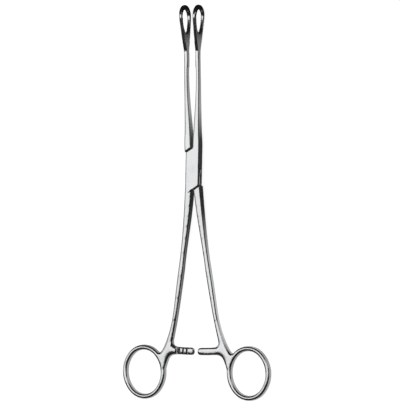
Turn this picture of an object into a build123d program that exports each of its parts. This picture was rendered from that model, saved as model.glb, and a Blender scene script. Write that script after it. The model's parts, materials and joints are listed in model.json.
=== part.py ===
from build123d import *
import os
from math import asin, atan2, cos, degrees, hypot, radians, sin, tan

# Straight sponge holding forceps with a box lock: two forged halves and the rivet between them.
#
# Each half is drawn closed, in the instrument's own frame: the hinge runs along Z through the
# origin, the jaws point along +Y, the rings lie at -Y and the viewer looks from +Z. A jaw is drawn
# on the right and a handle on the right too. The box half joins its jaw to the mirrored handle,
# and the tongue half is the same forging turned over about Y, with a thin tongue for its lock.
# Then both are opened to the resting pose and laid on the surface that carries them, Z = 0, with
# the bounding box centred on X and Y. Lengths are in millimetres and angles in degrees.

# Reach of the two ends from the hinge
jaw_reach = 103.0
ring_reach = 146.2

# Opening between the halves as the forceps lie, ratchets apart
rest_opening = 4.1

# Loop of a jaw, seen from the other jaw: its places are measured back from the tip
loop_radius = 7.0
loop_rim = 2.95
loop_thickness = 2.4
loop_face_gap = 0.1
loop_side_lean = 10.0
loop_shoulder_back = 19.0
loop_shoulder_half = 4.75
throat_back = 31.0
throat_half = 2.7
loop_root_back = 39.0
loop_root_half = 1.5
loop_outer_rounding = 1.05
loop_inner_bevel = 0.35
window_length = 15.2
window_foot_radius = 0.5
window_outer_bevel = 0.5
window_inner_bevel = 0.2

# Grooves across the gripping face
groove_pitch = 1.45
groove_depth = 0.4
groove_back = 22.5
groove_tip_margin = 1.9

# Shank between the lock and the loop: gap to the midline, outer edge and half thickness
shank_gap = 0.32
shank_low_run = 16.8
shank_low_outer = 4.12
shank_low_half = 2.6
shank_bow_gap = 0.85
shank_bow_outer = 3.75
shank_bow_half = 2.12
shank_neck_lead = 2.0
shank_neck_gap = 0.6
shank_neck_outer = 3.2
shank_neck_half = 1.85
shank_end_outer = 2.3
shank_end_half = 1.8
shank_face_relief = 0.4
shank_inner_rounding = 0.6
shank_outer_rounding = 1.0

# Lock
lock_half_width = 4.8
lock_half_thickness = 3.0
lock_reach = 13.2
lock_slant = 32.0
lock_rounding = 0.9
lock_run_past = 3.0
lock_run_short = 3.0
shoulder_clearance = 0.2
web_thickness = 2.2
web_clearance = 0.12
web_half_width = 1.9
web_reach = 11.6
web_ledge_angle = 30.0
web_side_relief = 0.1
hub_radius = 3.6
wall_clearance = 0.15
full_swing = 40.5
pin_radius = 1.9
pin_running_clearance = 0.05
pin_seat_clearance = 0.01

# Handle: reach, offset of its centre from the midline, and width
handle_neck_reach = 26.0
handle_neck_offset = 3.3
handle_neck_width = 4.6
handle_neck_half = 2.6
handle_neck_rounding = 1.05
handle_waist_reach = 44.0
handle_waist_offset = 4.95
handle_waist_width = 3.8
handle_waist_half = 2.25
handle_waist_rounding = 1.2
handle_mid_reach = 64.0
handle_mid_offset = 7.15
handle_mid_width = 3.85
handle_mid_slope = 0.125
handle_half_thickness = 2.2
handle_rounding = 1.4

# Foot of the handle: places measured up from the ring's centre and in from it towards the midline
handle_end_rise = 27.0
handle_end_inset = 19.3
handle_end_width = 4.0
flare_rise = 19.0
flare_inset = 14.6
flare_foot_rise = 11.0
flare_foot_inset = 9.4
flare_foot_angle = 41.3
cheek_rise = 7.8
cheek_bulge = 1.75
cheek_foot_drop = 2.2
cheek_foot_depth = 1.45
cheek_foot_slope = 0.2

# Finger ring: an oval of four arcs
ring_offset = 31.9
ring_half_width = 11.8
ring_half_length = 13.95
ring_end_radius = 10.4
ring_rim = 3.2
ring_lean = 2.0
ring_valley_rounding = 1.2

# Ratchet arm
arm_rise = 14.4
arm_height = 5.1
arm_overlap = 2.6
arm_clearance = 0.3
arm_boss_length = 1.6
arm_root_depth = 2.0
arm_upper_blend = 2.6
arm_lower_blend = 5.0
arm_tip_rounding = 2.0
arm_edge_rounding = 0.4
tooth_count = 3
tooth_pitch = 2.6
tooth_depth = 0.9
tooth_ramp = 0.85
tooth_landing = 3.6

# Reach of cutting tools past the metal, and how far off a joined edge another edge counts as its own
spare = 10.0
apart = 0.1

# Places worked out from the sizes
loop_centre = jaw_reach - loop_radius
loop_shoulder_reach = jaw_reach - loop_shoulder_back
throat_reach = jaw_reach - throat_back
loop_root_reach = jaw_reach - loop_root_back
groove_reach = jaw_reach - groove_back
shank_low_reach = lock_reach + shank_low_run
shank_neck_reach = loop_root_reach - shank_neck_lead
shank_bow_reach = (shank_low_reach + shank_neck_reach) / 2
ring_centre = (ring_offset, ring_half_length + ring_rim - ring_reach)
handle_end_level = ring_centre[1] + handle_end_rise
handle_end_offset = ring_offset - handle_end_inset
arm_level = ring_centre[1] + arm_rise
arm_boss_offset = handle_end_offset - handle_end_width / 2 - arm_boss_length


def section(reach, near, far, half, near_rounding, far_rounding):
    """Rounded section across the length, from near to far of the midline and half above and below."""
    face = Pos((near + far) / 2, 0) * Rectangle(far - near, 2 * half)
    face = fillet(face.vertices().group_by(Axis.X)[0], near_rounding)
    face = fillet(face.vertices().group_by(Axis.X)[-1], far_rounding)
    return Plane.XZ.offset(-reach) * face


def blunted(plan, x, y, radius):
    """Rounds the corner of a plan that lies nearest to a point."""
    corner = plan.vertices().sort_by(lambda v: hypot(v.X - x, v.Y - y))[0]
    return fillet(corner, radius)


def rims(solid, axis, place, keep=lambda centre: True):
    """Edges that lie in the plane across an axis at a place, apart from those that keep leaves out."""
    return [e for e in solid.edges().filter_by_position(axis, place, place) if keep(e.center())]


def loop_outline():
    """Loop from its root in the shank to the tip, in a plane with Y first and Z second."""
    lean = radians(loop_side_lean)
    shoulder = (loop_centre - loop_radius * sin(lean), loop_radius * cos(lean))
    opposite = (shoulder[0], -shoulder[1])
    tip = ThreePointArc(shoulder, (jaw_reach, 0), opposite)
    lower = Spline(
        opposite,
        (loop_shoulder_reach, -loop_shoulder_half),
        (throat_reach, -throat_half),
        (loop_root_reach, -loop_root_half),
        tangents=[(-cos(lean), sin(lean)), (-1, 0)],
    )
    root = Line(lower @ 1, (loop_root_reach, loop_root_half))
    upper = Spline(
        root @ 1,
        (throat_reach, throat_half),
        (loop_shoulder_reach, loop_shoulder_half),
        shoulder,
        tangents=[(1, 0), (cos(lean), sin(lean))],
    )
    return make_face(Wire([tip, lower, root, upper]))


def window_outline():
    """Window of the loop: round towards the tip and closing to a narrow foot."""
    round_end = loop_radius - loop_rim
    foot = jaw_reach - loop_rim - window_length + window_foot_radius
    round_edge = (Pos(loop_centre, 0) * Circle(round_end)).edges()
    foot_edge = (Pos(foot, 0) * Circle(window_foot_radius)).edges()
    return make_hull([*round_edge, *foot_edge])


def groove_cutters():
    """Sharp grooves across the gripping face, from below the window to the tip."""
    count = int((jaw_reach - groove_tip_margin - groove_reach) / groove_pitch) + 1
    face = loop_face_gap
    flare = groove_depth / 4
    notch = make_face(
        Polyline(
            (face + groove_depth, 0),
            (face - flare, groove_depth + flare),
            (face - flare, -groove_depth - flare),
            close=True,
        )
    )
    cutter = extrude(notch, amount=spare, both=True)
    return [Pos(0, groove_reach + i * groove_pitch, 0) * cutter for i in range(count)]


def loop():
    """Right-hand loop with its window and grooves, its gripping face towards the midline."""
    face = loop_face_gap
    back = face + loop_thickness
    body = Pos(face, 0, 0) * extrude(Plane.YZ * loop_outline(), amount=loop_thickness)
    beyond_root = lambda c: c.Y > loop_root_reach + apart
    body = fillet(rims(body, Axis.X, back, beyond_root), loop_outer_rounding)
    body = chamfer(rims(body, Axis.X, face, beyond_root), loop_inner_bevel)
    body -= extrude(Plane.YZ * window_outline(), amount=spare, both=True)
    inside = lambda c: abs(c.Z) < loop_radius - loop_rim and throat_reach < c.Y < jaw_reach - loop_rim / 2
    body = chamfer(rims(body, Axis.X, back, inside), window_outer_bevel)
    body = chamfer(rims(body, Axis.X, face, inside), window_inner_bevel)
    for cutter in groove_cutters():
        body -= cutter
    return body


def jaw():
    """Right-hand jaw: the loop on its shank, which runs on through the lock."""
    rounding = (shank_inner_rounding, shank_outer_rounding)
    relief = loop_face_gap + shank_face_relief
    in_lock = (shank_gap, lock_half_width, lock_half_thickness, shank_inner_rounding, lock_rounding)
    straight = lock_reach + lock_run_past
    bar = extrude(section(-lock_reach, *in_lock), amount=-(lock_reach + straight))
    low = (shank_low_reach, shank_gap, shank_low_outer, shank_low_half)
    bow = (shank_bow_reach, shank_bow_gap, shank_bow_outer, shank_bow_half)
    neck = (shank_neck_reach, shank_neck_gap, shank_neck_outer, shank_neck_half)
    end = (loop_shoulder_reach, relief, shank_end_outer, shank_end_half)
    stations = [section(straight, *in_lock)]
    for station in (low, bow, neck, end):
        stations.append(section(*station, *rounding))
    return bar + loft(stations) + loop()


def ring_oval(rim):
    """Finger opening grown by a rim: four arcs that meet smoothly, leaning with the ring."""
    end_drop = ring_half_length - ring_end_radius
    excess = ring_half_width**2 + end_drop**2 - ring_end_radius**2
    side_shift = excess / (2 * (ring_half_width - ring_end_radius)) - ring_half_width
    turn = atan2(end_drop, side_shift)
    meet_x = (ring_end_radius + rim) * cos(turn)
    meet_y = end_drop + (ring_end_radius + rim) * sin(turn)
    far_x = ring_half_width + rim
    far_y = ring_half_length + rim
    right = ThreePointArc((meet_x, -meet_y), (far_x, 0), (meet_x, meet_y))
    top = ThreePointArc((meet_x, meet_y), (0, far_y), (-meet_x, meet_y))
    left = ThreePointArc((-meet_x, meet_y), (-far_x, 0), (-meet_x, -meet_y))
    bottom = ThreePointArc((-meet_x, -meet_y), (0, -far_y), (meet_x, -meet_y))
    return Pos(*ring_centre) * Rot(0, 0, -ring_lean) * make_face(Wire([right, top, left, bottom]))


def handle_plan():
    """Lower handle with its finger ring and ratchet boss, from the viewer, drawn on the right."""
    top = -handle_mid_reach
    near_top = handle_mid_offset - handle_mid_width / 2
    far_top = handle_mid_offset + handle_mid_width / 2
    near_end = handle_end_offset - handle_end_width / 2
    far_end = handle_end_offset + handle_end_width / 2
    along = ring_offset - ring_half_width - ring_rim
    start = Line((far_top, top), (near_top, top))
    near = Spline(
        start @ 1,
        (near_end, handle_end_level),
        (along - cheek_bulge, ring_centre[1] + cheek_rise),
        (along + cheek_foot_depth, ring_centre[1] - cheek_foot_drop),
        tangents=[(handle_mid_slope, -1), (cheek_foot_slope, -1)],
    )
    flare_foot = (ring_centre[0] - flare_foot_inset, ring_centre[1] + flare_foot_rise)
    foot = Line(near @ 1, flare_foot)
    outwards = radians(flare_foot_angle)
    far = Spline(
        foot @ 1,
        (ring_centre[0] - flare_inset, ring_centre[1] + flare_rise),
        (far_end, handle_end_level),
        (far_top, top),
        tangents=[(-cos(outwards), sin(outwards)), (-handle_mid_slope, 1)],
    )
    plan = make_face(Wire([start, near, foot, far]))
    plan += ring_oval(ring_rim)
    boss_width = far_end - arm_boss_offset
    plan += Pos(far_end - boss_width / 2, arm_level) * Rectangle(boss_width, arm_height)
    plan -= ring_oval(0)
    plan = blunted(plan, *flare_foot, ring_valley_rounding)
    plan = blunted(plan, far_end, arm_level + arm_height / 2, arm_upper_blend)
    return blunted(plan, far_end, arm_level - arm_height / 2, arm_lower_blend)


def arm():
    """Ratchet arm that reaches from the boss across the midline, its teeth towards the viewer."""
    root = arm_boss_offset + arm_root_depth
    length = root + arm_overlap
    plan = Pos(root - length / 2, arm_level) * Rectangle(length, arm_height)
    plan = fillet(plan.vertices().group_by(Axis.X)[0], arm_tip_rounding)
    back = -handle_half_thickness
    face = -arm_clearance / 2
    body = extrude(Pos(0, 0, back) * plan, amount=face - back)
    body = fillet(rims(body, Axis.Z, back, lambda c: c.X < root - apart), arm_edge_rounding)
    for i in range(tooth_count):
        start = tooth_landing - arm_overlap + i * tooth_pitch
        ramp_end = start + tooth_ramp * tooth_pitch
        clear = face + tooth_depth
        corners = ((start, clear), (start, face - tooth_depth), (ramp_end, face), (ramp_end, clear))
        notch = make_face(Polyline(*corners, close=True))
        body -= Pos(0, arm_level, 0) * extrude(Plane.XZ * notch, amount=arm_height, both=True)
    return body


def handle():
    """Right-hand handle from the lock to the finger ring, with its ratchet arm."""
    lower = extrude(handle_plan(), amount=handle_half_thickness, both=True)
    below_top = lambda c: c.Y < -handle_mid_reach - apart
    for side in (1, -1):
        edges = rims(lower, Axis.Z, side * handle_half_thickness, below_top)
        lower = fillet(edges, handle_rounding)
    in_lock = (shank_gap, lock_half_width, lock_half_thickness, shank_inner_rounding, lock_rounding)
    straight = lock_reach - lock_run_short
    bar = extrude(section(lock_reach, *in_lock), amount=lock_reach + straight)
    stations = [section(-straight, *in_lock)]
    neck = (handle_neck_offset, handle_neck_width, handle_neck_half, handle_neck_rounding)
    waist = (handle_waist_offset, handle_waist_width, handle_waist_half, handle_waist_rounding)
    for reach, station in ((handle_neck_reach, neck), (handle_waist_reach, waist)):
        offset, width, half, rounding = station
        stations.append(section(-reach, offset - width / 2, offset + width / 2, half, rounding, rounding))
    stations.append(lower.faces().sort_by(Axis.Y)[-1])
    return bar + loft(stations) + lower + arm()


def beyond_plates(side, gap):
    """Everything past the slanted edge of the box's plates: side 1 towards the jaws, -1 the rings."""
    wide = 4 * (jaw_reach + ring_reach)
    block = Pos(0, gap, 0) * Box(wide, wide, 8 * spare, align=(Align.CENTER, Align.MIN, Align.CENTER))
    turn = lock_slant if side > 0 else lock_slant + 180
    return Pos(0, side * lock_reach, 0) * Rot(0, 0, turn) * block


def swept_plan(half_width, side, reach, neck, ledge_angle, hub):
    """Plan of the tongue, or with its clearances of the slot: a hub with an arm each way."""
    up = lock_reach + lock_run_past
    arm_plan = make_face(
        Polyline(
            (0, 0),
            (half_width, 0),
            (half_width, up),
            (-side, up),
            (-side, side * tan(radians(ledge_angle))),
            close=True,
        )
    )
    above = Pos(neck - spare, 0) * Rectangle(2 * spare, 4 * spare)
    arm_plan &= Circle(reach) + above
    return Circle(hub) + arm_plan + Rot(0, 0, 180) * arm_plan


def tongue():
    """Thin web of the tongue half, from neck to neck through the slot."""
    side = lock_half_width - web_side_relief
    plan = swept_plan(web_half_width, side, web_reach, -shank_gap, web_ledge_angle, hub_radius)
    return extrude(plan, amount=web_thickness / 2, both=True)


def slot():
    """Room for the tongue in the box, out to its full swing."""
    plan = swept_plan(
        web_half_width + wall_clearance,
        lock_half_width + spare,
        web_reach + wall_clearance,
        0,
        web_ledge_angle - full_swing,
        hub_radius + wall_clearance,
    )
    return extrude(plan, amount=web_thickness / 2 + web_clearance, both=True)


def box_half():
    """Right jaw, box and left handle in one."""
    core = Box(lock_half_width, 4 * lock_reach, 2 * lock_half_thickness)
    blank = jaw() - beyond_plates(-1, 0)
    blank += mirror(handle(), about=Plane.YZ) - beyond_plates(1, 0)
    blank += core - beyond_plates(1, 0) - beyond_plates(-1, 0)
    blank -= slot()
    return blank - Cylinder(pin_radius + pin_seat_clearance, 4 * lock_half_thickness)


def tongue_half():
    """Left jaw, tongue and right handle in one: the box half's forging turned over about Y."""
    over = Rot(0, 180, 0)
    blank = over * jaw() & beyond_plates(1, shoulder_clearance)
    blank += over * mirror(handle(), about=Plane.YZ) & beyond_plates(-1, shoulder_clearance)
    blank += tongue()
    return blank - Cylinder(pin_radius + pin_running_clearance, 4 * lock_half_thickness)


def pivot_pin():
    """Rivet through the lock, flush with both plates."""
    return Cylinder(pin_radius, 2 * lock_half_thickness)


def lying_tilt():
    """Turn about X that lays the loops and the far ends of the rings on one level."""
    drop = loop_radius - handle_half_thickness
    rounding = handle_rounding
    span = loop_centre + ring_reach - rounding
    lean = asin(drop / hypot(span, handle_half_thickness - rounding))
    return degrees(lean)


def main():
    """Builds the halves closed, opens them, lays them down and writes one file for each piece."""
    half_turn = rest_opening / 2
    tilt = Rot(lying_tilt(), 0, 0)
    pieces = {
        "box_half": tilt * Rot(0, 0, -half_turn) * box_half(),
        "tongue_half": tilt * Rot(0, 0, half_turn) * tongue_half(),
        "pivot_pin": tilt * Rot(0, 0, -half_turn) * pivot_pin(),
    }
    reach = pieces["box_half"].bounding_box().add(pieces["tongue_half"].bounding_box())
    shift = Pos(-reach.center().X, -reach.center().Y, -reach.min.Z)
    os.makedirs("parts", exist_ok=True)
    for name, piece in pieces.items():
        export_step(shift * piece, f"parts/{name}.step")
    print("hinge at", [round(v, 4) for v in shift.position], "tilted by", round(lying_tilt(), 4))
    print("size", [round(v, 3) for v in reach.size])


if __name__ == "__main__":
    main()
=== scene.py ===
"""Looks of a pair of straight sponge holding forceps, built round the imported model.

Each forged half takes its form from its solid. The mesh is merged and remeshed finely, the loop's
window and neck are trimmed, and the whole is eased as by tumbling and polishing. Then the pocket
above the arm is ground, and the gripping grooves, the rivet's seat and the ratchet teeth are cut
again, sharp. The rivet is turned from a rod and peened into its countersinks. Sizes of the pieces
and of their tools are millimetres in the instrument's own frame: the hinge at the origin along Z,
the jaws towards +Y. Those of the steel, the studio and the camera are metres in the row frame.
"""

import json
import logging
import math
from dataclasses import dataclass, field
from enum import Enum
from typing import Callable

import bpy
from mathutils import Matrix, Vector

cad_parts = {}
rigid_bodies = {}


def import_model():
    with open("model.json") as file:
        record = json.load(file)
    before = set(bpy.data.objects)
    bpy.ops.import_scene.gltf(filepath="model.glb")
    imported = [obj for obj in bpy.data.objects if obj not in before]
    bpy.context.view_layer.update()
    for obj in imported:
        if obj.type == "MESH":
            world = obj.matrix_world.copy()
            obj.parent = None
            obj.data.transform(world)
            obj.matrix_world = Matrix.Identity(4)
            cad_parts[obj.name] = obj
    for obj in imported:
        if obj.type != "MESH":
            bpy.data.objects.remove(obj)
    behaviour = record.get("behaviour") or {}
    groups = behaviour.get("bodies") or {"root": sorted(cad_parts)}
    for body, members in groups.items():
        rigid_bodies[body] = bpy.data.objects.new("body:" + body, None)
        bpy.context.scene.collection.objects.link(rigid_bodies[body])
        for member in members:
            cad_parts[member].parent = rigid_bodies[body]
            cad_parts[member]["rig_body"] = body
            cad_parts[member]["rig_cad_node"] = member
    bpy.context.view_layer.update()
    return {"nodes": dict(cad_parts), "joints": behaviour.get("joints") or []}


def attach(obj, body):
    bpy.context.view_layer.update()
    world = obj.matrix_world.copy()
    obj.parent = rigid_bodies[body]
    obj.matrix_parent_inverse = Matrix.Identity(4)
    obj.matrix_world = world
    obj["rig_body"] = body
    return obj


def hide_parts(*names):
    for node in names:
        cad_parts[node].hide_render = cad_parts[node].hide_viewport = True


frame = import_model()

MILLIMETRE = 0.001
# Within this many millimetres a corner counts as lying on a face of a tool.
NEAR = 0.01
WHITE = (1, 1, 1, 1)
# The colour mix node's sockets go by number, because several of them share a name.
MIX_FACTOR = 0
MIX_FIRST_COLOUR = 6
MIX_SECOND_COLOUR = 7
MIX_COLOUR_OUT = 2
Triple = tuple[float, float, float]
log = logging.getLogger("forceps")


class Side(Enum):
    """The two halves, named by their part of the lock."""

    BOX = "box"
    TONGUE = "tongue"


class Element(Enum):
    """What a mesh is made up of, by Blender's names."""

    CORNER = "VERT"
    EDGE = "EDGE"
    FACE = "FACE"


class Joining(Enum):
    """What a tool does to a piece, by Blender's names."""

    CUT = "DIFFERENCE"
    ADD = "UNION"


def select_only(piece: bpy.types.Object) -> None:
    """Makes a piece the only selected and the active object.

    Args:
        piece: The object to select.
    """
    bpy.ops.object.select_all(action="DESELECT")
    piece.select_set(True)
    bpy.context.view_layer.objects.active = piece


def newest(name: str) -> bpy.types.Object:
    """Names the object that an operator has just added.

    Args:
        name: The name for the object and its mesh.

    Returns:
        The object.
    """
    piece = bpy.context.view_layer.objects.active
    piece.name = name
    piece.data.name = name
    return piece


def settle(piece: bpy.types.Object, place: Matrix) -> None:
    """Puts a piece's place into its mesh, so that its object sits at the origin.

    Args:
        piece: The object to settle.
        place: What its mesh is then carried by.
    """
    piece.data.transform(place @ piece.matrix_basis)
    piece.matrix_basis = Matrix.Identity(4)


def apply_modifier(piece: bpy.types.Object, kind: str, **settings: object) -> None:
    """Adds a modifier with its settings and applies it.

    Args:
        piece: The mesh object to change.
        kind: The modifier's type.
        settings: The modifier's properties and their values.
    """
    select_only(piece)
    modifier = piece.modifiers.new(kind.lower(), kind)
    for name, value in settings.items():
        setattr(modifier, name, value)
    bpy.ops.object.modifier_apply(modifier=modifier.name)


def repeat(piece: bpy.types.Object, count: int, step: Triple) -> None:
    """Repeats a tool in a row.

    Args:
        piece: The tool.
        count: How many there are in the row.
        step: How far each stands from the one before it.
    """
    apply_modifier(
        piece,
        "ARRAY",
        count=count,
        use_relative_offset=False,
        use_constant_offset=True,
        constant_offset_displace=step,
    )


def choose(piece: bpy.types.Object, kind: Element, wanted: Callable[[Vector], bool]) -> None:
    """Selects the elements of a mesh whose centres are wanted, and stays in edit mode.

    Args:
        piece: The mesh object, in object mode.
        kind: Which elements are looked at.
        wanted: Says of a centre whether its element is wanted.
    """
    select_only(piece)
    bpy.ops.object.mode_set(mode="EDIT")
    bpy.ops.mesh.select_mode(type=kind.value)
    bpy.ops.mesh.select_all(action="DESELECT")
    bpy.ops.object.mode_set(mode="OBJECT")
    mesh = piece.data
    points = mesh.vertices
    if kind is Element.CORNER:
        for point in points:
            point.select = wanted(point.co)
    elif kind is Element.EDGE:
        for edge in mesh.edges:
            ends = [points[i].co for i in edge.vertices]
            edge.select = wanted((ends[0] + ends[1]) / 2)
    else:
        for face in mesh.polygons:
            face.select = wanted(face.center)
    bpy.ops.object.mode_set(mode="EDIT")


def shift(
    piece: bpy.types.Object, kind: Element, wanted: Callable[[Vector], bool], offset: Triple
) -> None:
    """Moves the elements of a tool whose centres are wanted.

    Args:
        piece: The tool, in object mode.
        kind: Which elements are looked at.
        wanted: Says of a centre whether its element is moved.
        offset: How far they move.
    """
    choose(piece, kind, wanted)
    bpy.ops.transform.translate(value=offset)
    bpy.ops.object.mode_set(mode="OBJECT")


def block(name: str, middle: Triple, size: Triple, turn: Triple = (0, 0, 0)) -> bpy.types.Object:
    """Makes a rectangular block.

    Args:
        name: Its name.
        middle: Where its centre is.
        size: How long its sides are.
        turn: Its turns about the axes, in radians.

    Returns:
        The block, whose size and place are not yet in its mesh.
    """
    bpy.ops.object.select_all(action="DESELECT")
    bpy.ops.mesh.primitive_cube_add(size=1, location=middle, rotation=turn)
    made = newest(name)
    made.scale = size
    return made


def bar(
    name: str, sides: int, radius: float, length: float, middle: Triple = (0, 0, 0), turn: Triple = (0, 0, 0)
) -> bpy.types.Object:
    """Makes a bar of a regular section, upright before its turn.

    Args:
        name: Its name.
        sides: How many sides its section has.
        radius: The radius round its corners.
        length: How long it is.
        middle: Where its centre is.
        turn: Its turns about the axes, in radians.

    Returns:
        The bar, whose place is not yet in its mesh.
    """
    bpy.ops.object.select_all(action="DESELECT")
    bpy.ops.mesh.primitive_cylinder_add(
        vertices=sides, radius=radius, depth=length, location=middle, rotation=turn
    )
    return newest(name)


def rise(value: float, start: float, run: float, least: float = 0.0) -> float:
    """Says how far a value has come on its way from a start, between a least share and 1.

    Args:
        value: The value.
        start: Where its way starts.
        run: How long its way is.
        least: The share that is given at the least.

    Returns:
        The share of the way.
    """
    return min(max((value - start) / run, least), 1.0)


@dataclass(frozen=True)
class NodeBench:
    """Adds the nodes of a material or a world, and joins them."""

    tree: bpy.types.NodeTree

    def feed(self, node: bpy.types.Node, inputs: dict[str | int, object]) -> None:
        """Fills inputs of a node.

        Args:
            node: The node.
            inputs: By name or number, a value or the socket that gives it.
        """
        for name, value in inputs.items():
            if isinstance(value, bpy.types.NodeSocket):
                self.tree.links.new(value, node.inputs[name])
            else:
                node.inputs[name].default_value = value

    def add(self, kind: str, inputs: dict[str | int, object] | None = None) -> bpy.types.Node:
        """Adds a node.

        Args:
            kind: Its type.
            inputs: What its inputs are filled with; the others keep their own values.

        Returns:
            The node.
        """
        node = self.tree.nodes.new(kind)
        self.feed(node, inputs or {})
        return node

    def combine(self, operation: str, *values: object) -> bpy.types.NodeSocket:
        """Adds a node that works something out.

        Args:
            operation: What it does with its values.
            values: Numbers, or the sockets that give them.

        Returns:
            The socket that gives the result.
        """
        node = self.tree.nodes.new("ShaderNodeMath")
        node.operation = operation
        self.feed(node, dict(enumerate(values)))
        return node.outputs["Value"]

    def ramp(
        self, value: bpy.types.NodeSocket, start: float, full: float, low: float = 0.0, high: float = 1.0
    ) -> bpy.types.NodeSocket:
        """Adds a straight ramp, level beyond both of its ends.

        Args:
            value: The socket that gives the value.
            start: The value at which the ramp starts.
            full: The value at which it ends.
            low: What it gives at its start.
            high: What it gives at its end.

        Returns:
            The socket that gives the ramp.
        """
        ends = {"From Min": start, "From Max": full, "To Min": low, "To Max": high}
        return self.add("ShaderNodeMapRange", {**ends, "Value": value}).outputs["Result"]

    def noise(self, place: bpy.types.NodeSocket, scale: float, detail: float) -> bpy.types.NodeSocket:
        """Adds cloudy noise.

        Args:
            place: The socket that gives the coordinates.
            scale: How fine the noise is.
            detail: How many finer layers it has.

        Returns:
            The socket that gives the noise.
        """
        settings = {"Vector": place, "Scale": scale, "Detail": detail}
        return self.add("ShaderNodeTexNoise", settings).outputs["Fac"]

    def glow(self, strength: bpy.types.NodeSocket) -> bpy.types.NodeSocket:
        """Adds white light that a surface gives off.

        Args:
            strength: The socket that gives its strength.

        Returns:
            The socket that gives the light.
        """
        return self.add("ShaderNodeEmission", {"Color": WHITE, "Strength": strength}).outputs["Emission"]

    def mix(
        self, share: bpy.types.NodeSocket, first: bpy.types.NodeSocket, second: bpy.types.NodeSocket
    ) -> bpy.types.NodeSocket:
        """Adds a mix of two shaders.

        Args:
            share: The socket that gives the second one's share.
            first: The first shader's socket.
            second: The second shader's socket.

        Returns:
            The socket that gives the mix.
        """
        return self.add("ShaderNodeMixShader", {"Fac": share, 1: first, 2: second}).outputs["Shader"]


@dataclass(frozen=True)
class Lay:
    """How the instrument lies: its hinge, its lean and the opening of its halves."""

    hinge: Vector
    lean: float
    opening: float

    @classmethod
    def from_frame(cls, joint: dict) -> "Lay":
        """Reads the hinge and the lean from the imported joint, and the opening from its range.

        Args:
            joint: The joint's entry in the frame.

        Returns:
            How the instrument lies.
        """
        axis = Vector(joint["axis"])
        opening = math.radians(-joint["range_deg"][0])
        return cls(Vector(joint["pos_m"]), math.atan2(-axis.y, axis.z), opening)

    def place(self, side: Side) -> Matrix:
        """The matrix from the instrument's own frame, in millimetres, to the row frame.

        Args:
            side: The half whose turn about the hinge is wanted.

        Returns:
            A matrix that scales, turns, leans and moves.
        """
        turn = self.opening / 2 if side is Side.TONGUE else -self.opening / 2
        return (
            Matrix.Translation(self.hinge)
            @ Matrix.Rotation(self.lean, 4, "X")
            @ Matrix.Rotation(turn, 4, "Z")
            @ Matrix.Scale(MILLIMETRE, 4)
        )


@dataclass(frozen=True)
class SatinSteel:
    """Stainless steel, ground along its length, satin finished and polished by use.

    The grain runs along the piece, the mottle is fine, and the cloud is broad. Where the cloud and
    half the grain add up to smooth_from the steel has its low roughness, at rough_from its high one.
    """

    name: str
    tint: Triple
    roughness_low: float
    roughness_high: float
    grain_strength: float
    grain_depth: float = 0.00002
    grain_across: float = 5200.0
    grain_along: float = 160.0
    grain_detail: float = 3.0
    grain_share: float = 0.5
    mottle_scale: float = 900.0
    mottle_detail: float = 4.0
    mottle_share: float = 0.35
    cloud_scale: float = 60.0
    cloud_detail: float = 2.0
    smooth_from: float = 0.45
    rough_from: float = 1.05
    darkest_share: float = 0.93

    def build(self) -> bpy.types.Material:
        """Makes the material's nodes.

        Returns:
            The finished material.
        """
        material = bpy.data.materials.new(self.name)
        material.use_nodes = True
        bench = NodeBench(material.node_tree)
        place = bench.add("ShaderNodeTexCoord").outputs["Object"]
        stretch = (self.grain_across, self.grain_along, self.grain_across)
        drawn_out = bench.add("ShaderNodeMapping", {"Vector": place, "Scale": stretch}).outputs["Vector"]
        grain = bench.noise(drawn_out, 1.0, self.grain_detail)
        mottle = bench.noise(place, self.mottle_scale, self.mottle_detail)
        cloud = bench.noise(place, self.cloud_scale, self.cloud_detail)

        wear = bench.combine("MULTIPLY_ADD", grain, self.grain_share, cloud)
        rough = bench.ramp(
            wear, self.smooth_from, self.rough_from, self.roughness_low, self.roughness_high
        )
        shade = bench.add("ShaderNodeMix")
        shade.data_type = "RGBA"
        darkest = (*(self.darkest_share * part for part in self.tint), 1)
        colours = {MIX_FIRST_COLOUR: darkest, MIX_SECOND_COLOUR: (*self.tint, 1), MIX_FACTOR: cloud}
        bench.feed(shade, colours)
        height = bench.combine("MULTIPLY_ADD", mottle, self.mottle_share, grain)
        relief = {"Strength": self.grain_strength, "Distance": self.grain_depth, "Height": height}
        bump = bench.add("ShaderNodeBump", relief)
        bench.feed(
            bench.tree.nodes["Principled BSDF"],
            {
                "Metallic": 1.0,
                "Roughness": rough,
                "Base Color": shade.outputs[MIX_COLOUR_OUT],
                "Normal": bump.outputs["Normal"],
            },
        )
        return material


@dataclass
class Grooves:
    """Sharp grooves across the gripping face of a jaw."""

    first_reach: float = 80.5
    last_reach: float = 101.1
    pitch: float = 1.45
    depth: float = 0.42
    face: float = 0.1
    width: float = 16.0

    def cutter(self, side: int) -> bpy.types.Object:
        """Makes one row of square bars, standing on their edges in the gripping face.

        Args:
            side: 1 for a jaw drawn on the right, -1 for one on the left.

        Returns:
            The bars as one mesh object, in the instrument's frame.
        """
        start = (side * self.face, self.first_reach, 0)
        row = bar("groove_cutter", 4, self.depth, self.width, start)
        count = int((self.last_reach - self.first_reach) / self.pitch) + 1
        repeat(row, count, (0, self.pitch, 0))
        return row


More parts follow.
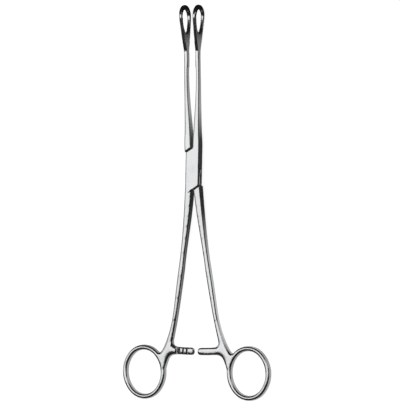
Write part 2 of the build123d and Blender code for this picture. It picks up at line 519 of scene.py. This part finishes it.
@dataclass
class LoopWindow:
    """Drop-shaped window through the loop of a jaw, widest beside the loop's centre."""

    reach: float = 95.6
    tip_length: float = 4.5
    foot_length: float = 10.7
    half_width: float = 4.9
    from_midline: float = 1.3
    through: float = 4.0
    segments: int = 128

    def cutter(self, side: int) -> bpy.types.Object:
        """Makes the bar that cuts the window.

        Args:
            side: 1 for a jaw drawn on the right, -1 for one on the left.

        Returns:
            The bar as a mesh object, in the instrument's frame.
        """
        middle = (side * self.from_midline, self.reach, 0)
        drop = bar("window_cutter", self.segments, 1, self.through, middle, (0, math.pi / 2, 0))
        drop.scale = (self.half_width, self.tip_length, 1)
        settle(drop, Matrix.Identity(4))
        choose(drop, Element.CORNER, lambda c: c.y < self.reach - NEAR)
        bpy.ops.transform.resize(
            value=(1, self.foot_length / self.tip_length, 1), center_override=(0, self.reach, 0)
        )
        bpy.ops.object.mode_set(mode="OBJECT")
        return drop


@dataclass
class NeckTrim:
    """Cuts that end the loop's taper further from the lock, where its foot meets the shank."""

    root: float = 62.0
    knee: float = 74.0
    end: float = 88.0
    shank_half: float = 1.84
    loop_half: float = 5.57
    deep: float = 5.0
    width: float = 16.0

    def cutters(self) -> list[bpy.types.Object]:
        """Makes a straight block and a wedge for the upper and for the lower edge.

        Returns:
            The four blocks, in the instrument's frame.
        """
        tools = []
        for turn in (0.0, math.pi):
            for name, start, stop, rising in (
                ("neck_block", self.root, self.knee, 0.0),
                ("neck_wedge", self.knee, self.end, self.loop_half - self.shank_half),
            ):
                middle = (0, (start + stop) / 2, self.shank_half + self.deep / 2)
                tool = block(name, middle, (self.width, stop - start, self.deep))
                settle(tool, Matrix.Identity(4))
                shift(
                    tool,
                    Element.CORNER,
                    lambda c: c.y > stop - NEAR and c.z < self.shank_half + NEAR,
                    (0, 0, rising),
                )
                settle(tool, Matrix.Rotation(turn, 4, "Y"))
                tools.append(tool)
        return tools


@dataclass
class ArmBevel:
    """Broad bevel along the ring side of the upper arm's back."""

    start: float = -6.0
    end: float = 8.5
    edge_reach: float = 115.3
    level: float = 2.25
    angle: float = 34.0
    size: float = 6.0
    run_out: float = 1.3

    def cutter(self) -> bpy.types.Object:
        """Makes the block that cuts the bevel.

        Returns:
            The block as a mesh object, in the instrument's frame.
        """
        angle = math.radians(self.angle)
        half = self.size / 2
        middle = (
            (self.start + self.end) / 2,
            -self.edge_reach - half * math.cos(angle) - half * math.sin(angle),
            self.level - half * math.sin(angle) + half * math.cos(angle),
        )
        size = (self.end - self.start, self.size, self.size)
        tool = block("bevel_cutter", middle, size, (angle, 0, 0))
        settle(tool, Matrix.Identity(4))
        run_out = (0, -self.run_out, self.run_out / 2)
        shift(tool, Element.CORNER, lambda c: c.x > self.end - NEAR, run_out)
        return tool


@dataclass
class ArmPocket:
    """Facet ground into the handle above the root of the arm, clear of the other arm's tip."""

    left: float = -12.7
    top: float = -106.5
    foot: float = -112.2
    edge_height: float = 1.75
    slant: float = 1.6
    tilt: float = 40.0
    width: float = 6.0
    spare: float = 4.0

    def cutter(self, side: Side) -> bpy.types.Object:
        """Makes the slanted block that grinds the facet.

        Args:
            side: The half to be ground; the tongue half is the same forging turned over.

        Returns:
            The block as a mesh object, in the instrument's frame.
        """
        size = (self.width, self.top - self.foot, self.spare)
        tool = block("pocket_cutter", (self.width / 2, 0, self.spare / 2), size)
        settle(tool, Matrix.Identity(4))
        shift(tool, Element.CORNER, lambda c: c.x < NEAR and c.y < 0, (-self.slant, 0, 0))
        tilt = Matrix.Rotation(math.radians(self.tilt), 4, "Y")
        edge = Matrix.Translation((self.left, (self.top + self.foot) / 2, self.edge_height))
        over = Matrix.Rotation(0 if side is Side.BOX else math.pi, 4, "Y")
        settle(tool, over @ edge @ tilt)
        return tool


@dataclass
class RivetSeat:
    """Countersunk seats of the rivet's heads, filled first and cut sharp after the polishing."""

    radius: float = 1.92
    head_radius: float = 2.27
    head_depth: float = 0.42
    plug_radius: float = 2.9
    plate_inside: float = 1.6
    plate_outside: float = 3.0
    overrun: float = 1.0
    segments: int = 96

    def rod(self, name: str, radius: float, low: float, high: float) -> bpy.types.Object:
        """Makes a round bar along the hinge.

        Args:
            name: Its name.
            radius: Its radius.
            low: The height of its lower end.
            high: The height of its upper end.

        Returns:
            The bar, in the instrument's frame.
        """
        rod = bar(name, self.segments, radius, high - low, (0, 0, (low + high) / 2))
        settle(rod, Matrix.Identity(4))
        return rod

    def plugs(self) -> list[bpy.types.Object]:
        """Makes the discs that fill the worn mouths of the hole.

        Returns:
            The upper and the lower disc.
        """
        return [
            self.rod("upper_plug", self.plug_radius, self.plate_inside, self.plate_outside),
            self.rod("lower_plug", self.plug_radius, -self.plate_outside, -self.plate_inside),
        ]

    def cutters(self) -> list[bpy.types.Object]:
        """Makes the drill and the countersinks.

        Returns:
            The drill, the upper sink and the lower one.
        """
        beyond = self.plate_outside + self.overrun
        floor = self.plate_outside - self.head_depth
        return [
            self.rod("rivet_drill", self.radius, -beyond, beyond),
            self.rod("upper_sink", self.head_radius, floor, beyond),
            self.rod("lower_sink", self.head_radius, -beyond, -floor),
        ]


@dataclass
class Teeth:
    """Ratchet teeth across the flat of an arm: steep walls, each with a ramp behind it."""

    arm_reach: float = 114.65
    arm_height: float = 5.1
    tip: float = 2.6
    landing: float = 4.5
    pitch: float = 2.6
    depth: float = 1.1
    ramp: float = 0.55
    count: int = 3
    face: float = 0.15
    filled_from: float = 0.6
    filled_to: float = 8.9
    filled_depth: float = 1.3
    filled_inset: float = 0.45
    lead: float = 1.5
    lead_angle: float = 40.0

    def filler(self, side: int, up: int) -> bpy.types.Object:
        """Makes the block that fills the solid's plain notches, before the sharp ones are cut.

        Args:
            side: 1 for an arm that comes from the right, -1 for one from the left.
            up: 1 where the teeth face the viewer, -1 where they face away.

        Returns:
            The block as a mesh object, in the instrument's frame.
        """
        middle = (
            side * (self.filled_from + self.filled_to) / 2,
            -self.arm_reach,
            -up * (self.face + self.filled_depth / 2),
        )
        height = self.arm_height - 2 * self.filled_inset
        return block("tooth_filler", middle, (self.filled_to - self.filled_from, height, self.filled_depth))

    def cutter(self, side: int, up: int) -> bpy.types.Object:
        """Makes the notches between the teeth.

        Args:
            side: 1 for an arm that comes from the right, -1 for one from the left.
            up: 1 where the teeth face the viewer, -1 where they face away.

        Returns:
            The notches as one mesh object, in the instrument's frame.
        """
        length = self.ramp * self.pitch
        size = (length, 2 * self.arm_height, 2 * self.depth)
        notch = block("tooth_cutter", (length / 2, -self.arm_reach, 0), size)
        settle(notch, Matrix.Identity(4))
        shift(
            notch,
            Element.EDGE,
            lambda c: c.x > length - NEAR and c.z < NEAR - self.depth,
            (0, 0, self.depth),
        )
        repeat(notch, self.count, (self.pitch, 0, 0))
        self.turn_over(notch, Vector((self.landing - self.tip, 0, -self.face)), side, up)
        return notch

    def lead_in(self, side: int, up: int) -> bpy.types.Object:
        """Makes the block that bevels the tip on the toothed side, so that the arms ride over.

        Args:
            side: 1 for an arm that comes from the right, -1 for one from the left.
            up: 1 where the teeth face the viewer, -1 where they face away.

        Returns:
            The block as a mesh object, in the instrument's frame.
        """
        size = 2 * self.arm_height
        tool = block("lead_in_cutter", (-size / 2, 0, size / 2), (size, size, size))
        settle(tool, Matrix.Identity(4))
        settle(tool, Matrix.Rotation(-math.radians(self.lead_angle), 4, "Y"))
        self.turn_over(tool, Vector((self.lead - self.tip, -self.arm_reach, -self.face)), side, up)
        return tool

    def turn_over(self, tool: bpy.types.Object, place: Vector, side: int, up: int) -> None:
        """Moves a tool drawn for the right arm's upper side to its place, and mirrors it.

        Args:
            tool: The tool's mesh object.
            place: Where its own origin goes.
            side: 1 for an arm that comes from the right, -1 for one from the left.
            up: 1 where the teeth face the viewer, -1 where they face away.
        """
        settle(tool, Matrix.Translation(place))
        settle(tool, Matrix.Diagonal((side, 1, up, 1)))
        select_only(tool)
        bpy.ops.object.mode_set(mode="EDIT")
        bpy.ops.mesh.select_all(action="SELECT")
        bpy.ops.mesh.normals_make_consistent(inside=False)
        bpy.ops.object.mode_set(mode="OBJECT")


@dataclass(frozen=True)
class Grinding:
    """How strongly each part of a half is ground round: handles and webs most, the lock least.

    A share is the least or the full strength of a part. A fade is the way on which it changes.
    """

    ring_from_middle: float = 31.9
    ring_reach: float = 129.05
    ring_half_width: float = 15.0
    ring_half_length: float = 17.15
    ring_edge: float = 0.98
    ring_fade: float = 0.12
    ring_share: float = 0.08
    lock_reach: float = 15.0
    lock_fade: float = 8.0
    flank: float = 3.4
    flank_fade: float = 1.0
    flank_share: float = 0.7
    loop_reach: float = 66.0
    loop_fade: float = 6.0
    loop_share: float = 0.35
    bow_reach: float = 92.0
    bow_fade: float = 10.0
    arm_half: float = 9.0
    arm_fade: float = 3.0
    shank_share: float = 0.32
    bow_share: float = 0.21
    handle_share: float = 0.47

    def share(self, spot: Vector, jaw_side: int) -> float:
        """Says how strongly a spot is ground round.

        Args:
            spot: A point in the instrument's frame.
            jaw_side: 1 where the half's jaw is the right one, -1 where it is the left one.

        Returns:
            0 to 1.
        """
        across = (-jaw_side * spot.x - self.ring_from_middle) / self.ring_half_width
        along = (spot.y + self.ring_reach) / self.ring_half_length
        off_ring = rise(math.hypot(across, along), self.ring_edge, self.ring_fade, self.ring_share)
        on_flank = rise(abs(spot.x), self.flank, self.flank_fade)
        off_lock = rise(abs(spot.y), self.lock_reach, self.lock_fade, self.flank_share * on_flank)
        off_loop = rise(-spot.y, -self.loop_reach, self.loop_fade, self.loop_share)
        bow = rise(-spot.y, self.bow_reach, self.bow_fade)
        off_arm = rise(abs(spot.x), self.arm_half, self.arm_fade)
        strength = self.shank_share + bow * (self.bow_share + self.handle_share * off_arm)
        return off_ring * off_lock * off_loop * strength


@dataclass
class ForgedHalf:
    """One half of the forceps, forged in one piece from jaw to finger ring."""

    node: str
    body: str
    side: Side
    lay: Lay
    voxel: float = 0.27
    merged_within: float = 0.01
    easing_passes: int = 6
    easing_share: float = 0.5
    round_passes: int = 150
    smooth_angle: float = 34.0
    web_reach: float = 14.0
    web_height: float = 1.25
    web_relief: float = 0.1
    grinding: Grinding = Grinding()
    seat: RivetSeat = field(default_factory=RivetSeat)
    grooves: Grooves = field(default_factory=Grooves)
    window: LoopWindow = field(default_factory=LoopWindow)
    neck: NeckTrim = field(default_factory=NeckTrim)
    pocket: ArmPocket = field(default_factory=ArmPocket)
    bevel: ArmBevel = field(default_factory=ArmBevel)
    teeth: Teeth = field(default_factory=Teeth)

    @property
    def jaw_side(self) -> int:
        """1 where this half's jaw is the right one, and -1 where it is the left one."""
        return 1 if self.side is Side.BOX else -1

    def weigh(
        self, piece: bpy.types.Object, name: str, weight: Callable[[Vector], float]
    ) -> bpy.types.VertexGroup:
        """Groups the vertices that a modifier works on.

        Args:
            piece: The remeshed half.
            name: The group's name.
            weight: Gives the weight of a spot in the instrument's frame, 0 for one left out.

        Returns:
            The group.
        """
        to_instrument = self.lay.place(self.side).inverted()
        group = piece.vertex_groups.new(name=name)
        for point in piece.data.vertices:
            share = weight(to_instrument @ point.co)
            if share > 0:
                group.add([point.index], share, "REPLACE")
        return group

    def grind_round(self, piece: bpy.types.Object) -> None:
        """Rounds the shanks, the handles and the webs at the rings more than the rest.

        Args:
            piece: The remeshed half.
        """
        group = self.weigh(piece, "ground_round", lambda spot: self.grinding.share(spot, self.jaw_side))
        apply_modifier(
            piece, "SMOOTH", factor=self.easing_share, iterations=self.round_passes, vertex_group=group.name
        )

    def relieve(self, piece: bpy.types.Object) -> None:
        """Takes a hair off the web that runs through the slot, so that it swings clear when closed.

        Args:
            piece: The remeshed half.
        """
        group = self.weigh(
            piece,
            "web",
            lambda spot: float(abs(spot.y) < self.web_reach and abs(spot.z) < self.web_height),
        )
        apply_modifier(
            piece, "DISPLACE", strength=-self.web_relief * MILLIMETRE, mid_level=0.0, vertex_group=group.name
        )

    def remesh(self, piece: bpy.types.Object) -> None:
        """Lays an even net of small faces over a piece.

        Args:
            piece: The half.
        """
        apply_modifier(piece, "REMESH", mode="VOXEL", voxel_size=self.voxel * MILLIMETRE)

    def copy_of_solid(self) -> bpy.types.Object:
        """Copies the solid's mesh as one closed surface.

        Returns:
            The copy, free of its parent and of the frame's tags.
        """
        bpy.ops.object.select_all(action="DESELECT")
        piece = frame["nodes"][self.node].copy()
        piece.data = piece.data.copy()
        piece.name = f"{self.node}_forging"
        piece.parent = None
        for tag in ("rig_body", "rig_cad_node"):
            del piece[tag]
        bpy.context.scene.collection.objects.link(piece)
        select_only(piece)
        bpy.ops.object.mode_set(mode="EDIT")
        bpy.ops.mesh.select_all(action="SELECT")
        bpy.ops.mesh.remove_doubles(threshold=self.merged_within * MILLIMETRE)
        bpy.ops.mesh.customdata_custom_splitnormals_clear()
        bpy.ops.object.mode_set(mode="OBJECT")
        return piece

    def blank(self) -> bpy.types.Object:
        """Gives a copy of the solid its rounder forms and remeshes it with eased edges.

        Returns:
            The half without its sharp cuts.
        """
        piece = self.copy_of_solid()
        self.remesh(piece)
        self.cut(piece, self.window.cutter(self.jaw_side))
        for tool in self.neck.cutters():
            self.cut(piece, tool)
        self.cut(piece, self.teeth.filler(-self.jaw_side, self.jaw_side), Joining.ADD)
        if self.side is Side.BOX:
            for plug in self.seat.plugs():
                self.cut(piece, plug, Joining.ADD)
        else:
            self.cut(piece, self.bevel.cutter())
        self.remesh(piece)
        apply_modifier(piece, "SMOOTH", factor=self.easing_share, iterations=self.easing_passes)
        self.grind_round(piece)
        if self.side is Side.TONGUE:
            self.relieve(piece)
        return piece

    def cut(
        self, piece: bpy.types.Object, cutter: bpy.types.Object, how: Joining = Joining.CUT
    ) -> None:
        """Works on a piece with a tool drawn in the instrument's frame, and clears the tool away.

        Args:
            piece: The half.
            cutter: The tool.
            how: Whether the tool cuts or is added.
        """
        settle(cutter, self.lay.place(self.side))
        before = len(piece.data.polygons)
        apply_modifier(piece, "BOOLEAN", operation=how.value, solver="MANIFOLD", object=cutter)
        log.info("%s, %s: %d faces, then %d", piece.name, cutter.name, before, len(piece.data.polygons))
        bpy.data.objects.remove(cutter)

    def build(self, material: bpy.types.Material) -> bpy.types.Object:
        """Makes, dresses and hands over the half.

        Args:
            material: The steel it is made of.

        Returns:
            The finished piece.
        """
        piece = self.blank()
        self.cut(piece, self.grooves.cutter(self.jaw_side))
        self.cut(piece, self.pocket.cutter(self.side))
        if self.side is Side.BOX:
            for tool in self.seat.cutters():
                self.cut(piece, tool)
        self.cut(piece, self.teeth.cutter(-self.jaw_side, self.jaw_side))
        self.cut(piece, self.teeth.lead_in(-self.jaw_side, self.jaw_side))
        select_only(piece)
        bpy.ops.object.shade_smooth_by_angle(angle=math.radians(self.smooth_angle))
        piece.data.materials.clear()
        piece.data.materials.append(material)
        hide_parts(self.node)
        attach(piece, self.body)
        return piece


@dataclass
class PivotPin:
    """Rivet of the lock, peened into countersinks and ground flush with the plates."""

    node: str
    body: str
    lay: Lay
    radius: float = 1.9
    length: float = 6.0
    head_radius: float = 2.25
    head_depth: float = 0.4
    rim: float = 0.06
    smooth_angle: float = 30.0
    segments: int = 96

    def build(self, material: bpy.types.Material) -> bpy.types.Object:
        """Turns the rod, spreads its two heads and hands the pin over.

        Args:
            material: The steel it is made of.

        Returns:
            The finished piece.
        """
        pin = bar("rivet", self.segments, self.radius, self.length - 2 * self.head_depth)
        shoulder = self.length / 2 - self.head_depth
        spread = self.head_radius / self.radius
        for end in (1, -1):
            choose(pin, Element.FACE, lambda c: end * c.z > shoulder - NEAR)
            bpy.ops.mesh.extrude_region_move(TRANSFORM_OT_translate={"value": (0, 0, end * self.head_depth)})
            bpy.ops.transform.resize(value=(spread, spread, 1))
            bpy.ops.mesh.inset(thickness=self.rim)
            bpy.ops.object.mode_set(mode="OBJECT")
        settle(pin, self.lay.place(Side.BOX))
        select_only(pin)
        bpy.ops.object.shade_smooth_by_angle(angle=math.radians(self.smooth_angle))
        pin.data.materials.append(material)
        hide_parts(self.node)
        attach(pin, self.body)
        return pin


@dataclass(frozen=True)
class Softbox:
    """A rectangular soft light that hangs square to the object."""

    name: str
    left_of_overhead: float
    along: float
    distance: float
    width: float
    length: float
    radiance: float

    def hang(self) -> bpy.types.Object:
        """Places the light and turns it to the object.

        Returns:
            The light's object.
        """
        lamp = bpy.data.lights.new(self.name, "AREA")
        lamp.shape = "RECTANGLE"
        lamp.size = self.width
        lamp.size_y = self.length
        lamp.energy = math.pi * self.width * self.length * self.radiance
        holder = bpy.data.objects.new(self.name, lamp)
        bpy.context.scene.collection.objects.link(holder)
        angle = math.radians(self.left_of_overhead)
        holder.location = (-self.distance * math.sin(angle), self.along, self.distance * math.cos(angle))
        holder.rotation_euler = (0, -angle, 0)
        return holder


@dataclass
class Studio:
    """White floor under a broad soft light, weaker ones on both sides, and dark elsewhere.

    The steel sees a painted reflection in the floor: bands of glow, darker left of the jaws and paler
    at the right by the handles. Each of those fades is a pair: where it starts and where it is full.
    """

    floor_size: float = 6.0
    floor_colour: Triple = (0.86, 0.86, 0.86)
    floor_roughness: float = 0.9
    floor_sheen: float = 0.2
    white_to_camera: float = 0.9
    dark: float = 0.015
    key: Softbox = Softbox(
        name="key_light", left_of_overhead=10.0, along=0.05, distance=2.5,
        width=3.5, length=1.0, radiance=1.05,
    )
    fill: Softbox = Softbox(
        name="left_fill", left_of_overhead=68.0, along=0.33, distance=2.5,
        width=1.85, length=1.3, radiance=0.42,
    )
    edge: Softbox = Softbox(
        name="right_edge", left_of_overhead=-52.0, along=0.95, distance=2.5,
        width=1.5, length=0.9, radiance=0.8,
    )
    # Fades of the painted reflection, in metres: darker left of the jaws, paler at the right by the handles.
    left_of_jaws: tuple[float, float] = (-0.006, -0.014)
    by_jaws: tuple[float, float] = (0.067, 0.075)
    right_half: tuple[float, float] = (0.004, 0.009)
    by_handles: tuple[float, float] = (-0.006, -0.034)
    above_rings: tuple[float, float] = (-0.092, -0.080)
    painted_paler_at_right: float = 0.42
    # Ends and stops of the painted reflection's brightness along the instrument, in metres.
    painted_reflection_from: float = -0.125
    painted_reflection_to: float = 0.125
    painted_reflection_bands: tuple[tuple[float, float], ...] = (
        (-0.107, 0.47),
        (-0.083, 0.32),
        (-0.050, 0.17),
        (-0.020, 0.08),
        (0.000, 0.03),
        (0.040, 0.05),
        (0.060, 0.42),
        (0.084, 0.34),
        (0.101, 0.20),
        (0.109, 0.01),
    )

    def bands(self, bench: NodeBench, upward: bpy.types.NodeSocket) -> bpy.types.NodeSocket:
        """Adds the brightness of the painted reflection along the instrument.

        Args:
            bench: The floor's nodes.
            upward: The socket that gives the place towards the jaws.

        Returns:
            The socket that gives the brightness.
        """
        along = bench.ramp(upward, self.painted_reflection_from, self.painted_reflection_to)
        colours = bench.add("ShaderNodeValToRGB", {"Fac": along})
        stops = colours.color_ramp.elements
        reach = self.painted_reflection_to - self.painted_reflection_from
        for number, (where, level) in enumerate(self.painted_reflection_bands):
            share = (where - self.painted_reflection_from) / reach
            stop = stops[number] if number < 1 else stops.new(share)
            stop.position = share
            stop.color = (level, level, level, 1)
        stops.remove(stops[-1])
        return colours.outputs["Color"]

    def painted_reflection(self, bench: NodeBench) -> bpy.types.NodeSocket:
        """Adds the painted reflection that the steel sees in the floor, a glow rather than lit floor.

        Args:
            bench: The floor's nodes.

        Returns:
            The socket that gives the painted reflection's brightness.
        """
        place = bench.add("ShaderNodeTexCoord").outputs["Object"]
        parts = bench.add("ShaderNodeSeparateXYZ", {"Vector": place})
        across = parts.outputs["X"]
        upward = parts.outputs["Y"]
        # The painted reflection is darker left of the jaws and paler at the right by the handles.
        left = bench.ramp(across, *self.left_of_jaws)
        darker = bench.combine("MULTIPLY", left, bench.ramp(upward, *self.by_jaws))
        below_lock = bench.ramp(upward, *self.by_handles)
        handles = bench.combine("MULTIPLY", below_lock, bench.ramp(upward, *self.above_rings))
        right = bench.ramp(across, *self.right_half)
        paler = bench.combine("MULTIPLY", bench.combine("MULTIPLY", right, handles), self.painted_paler_at_right)
        kept = bench.combine("SUBTRACT", 1.0, darker)
        return bench.combine("MULTIPLY_ADD", self.bands(bench, upward), kept, paler)

    def floor(self) -> bpy.types.Object:
        """Lays the floor, white to the camera but for the object's shadow, and glowing with a painted
        reflection to glossy and transmission rays.

        Returns:
            The floor.
        """
        bpy.ops.object.select_all(action="DESELECT")
        bpy.ops.mesh.primitive_plane_add(size=self.floor_size, location=(0, 0, 0))
        floor = newest("floor")
        material = bpy.data.materials.new("pale_floor")
        material.use_nodes = True
        bench = NodeBench(material.node_tree)
        paint = bench.tree.nodes["Principled BSDF"]
        bench.feed(
            paint,
            {
                "Base Color": (*self.floor_colour, 1),
                "Roughness": self.floor_roughness,
                "Specular IOR Level": self.floor_sheen,
            },
        )
        path = bench.add("ShaderNodeLightPath").outputs
        white = bench.combine("MULTIPLY", path["Is Camera Ray"], self.white_to_camera)
        seen = bench.add("ShaderNodeAddShader", {0: paint.outputs["BSDF"], 1: bench.glow(white)})
        # Glossy and transmission rays see the painted reflection's glow instead of the lit floor.
        mirrors = bench.combine("ADD", path["Is Glossy Ray"], path["Is Transmission Ray"])
        surface = bench.mix(mirrors, seen.outputs["Shader"], bench.glow(self.painted_reflection(bench)))
        bench.feed(bench.tree.nodes["Material Output"], {"Surface": surface})
        floor.data.materials.append(material)
        return floor

    def surround(self) -> None:
        """Sets the world: nearly dark, and white where the camera looks past the floor."""
        world = bpy.data.worlds.new("surround")
        bpy.context.scene.world = world
        world.use_nodes = True
        bench = NodeBench(world.node_tree)
        fill = bench.tree.nodes["Background"]
        bench.feed(fill, {"Color": WHITE, "Strength": self.dark})
        white = bench.add("ShaderNodeBackground", {"Color": WHITE, "Strength": 1.0})
        path = bench.add("ShaderNodeLightPath").outputs
        surface = bench.mix(path["Is Camera Ray"], fill.outputs["Background"], white.outputs["Background"])
        bench.feed(bench.tree.nodes["World Output"], {"Surface": surface})

    def build(self) -> None:
        """Sets up floor, lights and surround."""
        self.floor()
        self.key.hang()
        self.fill.hang()
        self.edge.hang()
        self.surround()
        bpy.context.scene.view_settings.view_transform = "Standard"


@dataclass
class Camera:
    """The photograph's view: from above, turned to the right side of the lying instrument.

    Lengths are metres and turns are degrees. The span is the width that the picture shows.
    """

    target: Triple = (0.0037, 0.00088, 0.004)
    distance: float = 2.5
    turn: float = 26.22
    pitch: float = -0.13
    roll: float = -0.25
    span: float = 0.25073

    def build(self) -> bpy.types.Object:
        """Places the camera and makes it the scene's.

        Returns:
            The camera.
        """
        lens = bpy.data.cameras.new("camera")
        lens.sensor_fit = "HORIZONTAL"
        lens.lens = lens.sensor_width * self.distance / self.span
        holder = bpy.data.objects.new("camera", lens)
        bpy.context.scene.collection.objects.link(holder)
        turn = Matrix.Rotation(math.radians(self.turn), 4, "Y")
        pitch = Matrix.Rotation(math.radians(self.pitch), 4, "X")
        roll = Matrix.Rotation(math.radians(self.roll), 4, "Z")
        back = Matrix.Translation((0, 0, self.distance))
        holder.matrix_world = Matrix.Translation(self.target) @ turn @ pitch @ roll @ back
        bpy.context.scene.camera = holder
        return holder


def main() -> None:
    """Builds the pieces in order and reports each."""
    logging.basicConfig(level=logging.INFO, format="%(name)s: %(message)s")
    lay = Lay.from_frame(frame["joints"][0])
    steel = SatinSteel(
        name="satin_steel",
        tint=(0.80, 0.805, 0.815),
        roughness_low=0.12,
        roughness_high=0.22,
        grain_strength=0.14,
    )
    pin_steel = SatinSteel(
        name="pin_steel",
        tint=(0.79, 0.795, 0.805),
        roughness_low=0.13,
        roughness_high=0.24,
        grain_strength=0.14,
    )
    steel_material = steel.build()
    halves = (
        ForgedHalf("box_half", "box_side", Side.BOX, lay),
        ForgedHalf("tongue_half", "tongue_side", Side.TONGUE, lay),
    )
    for half in halves:
        piece = half.build(steel_material)
        log.info("%s: %d faces", piece.name, len(piece.data.polygons))
    pin = PivotPin("pivot_pin", "box_side", lay).build(pin_steel.build())
    log.info("%s: %d faces", pin.name, len(pin.data.polygons))
    Studio().build()
    Camera().build()


if __name__ == "__main__":
    main()
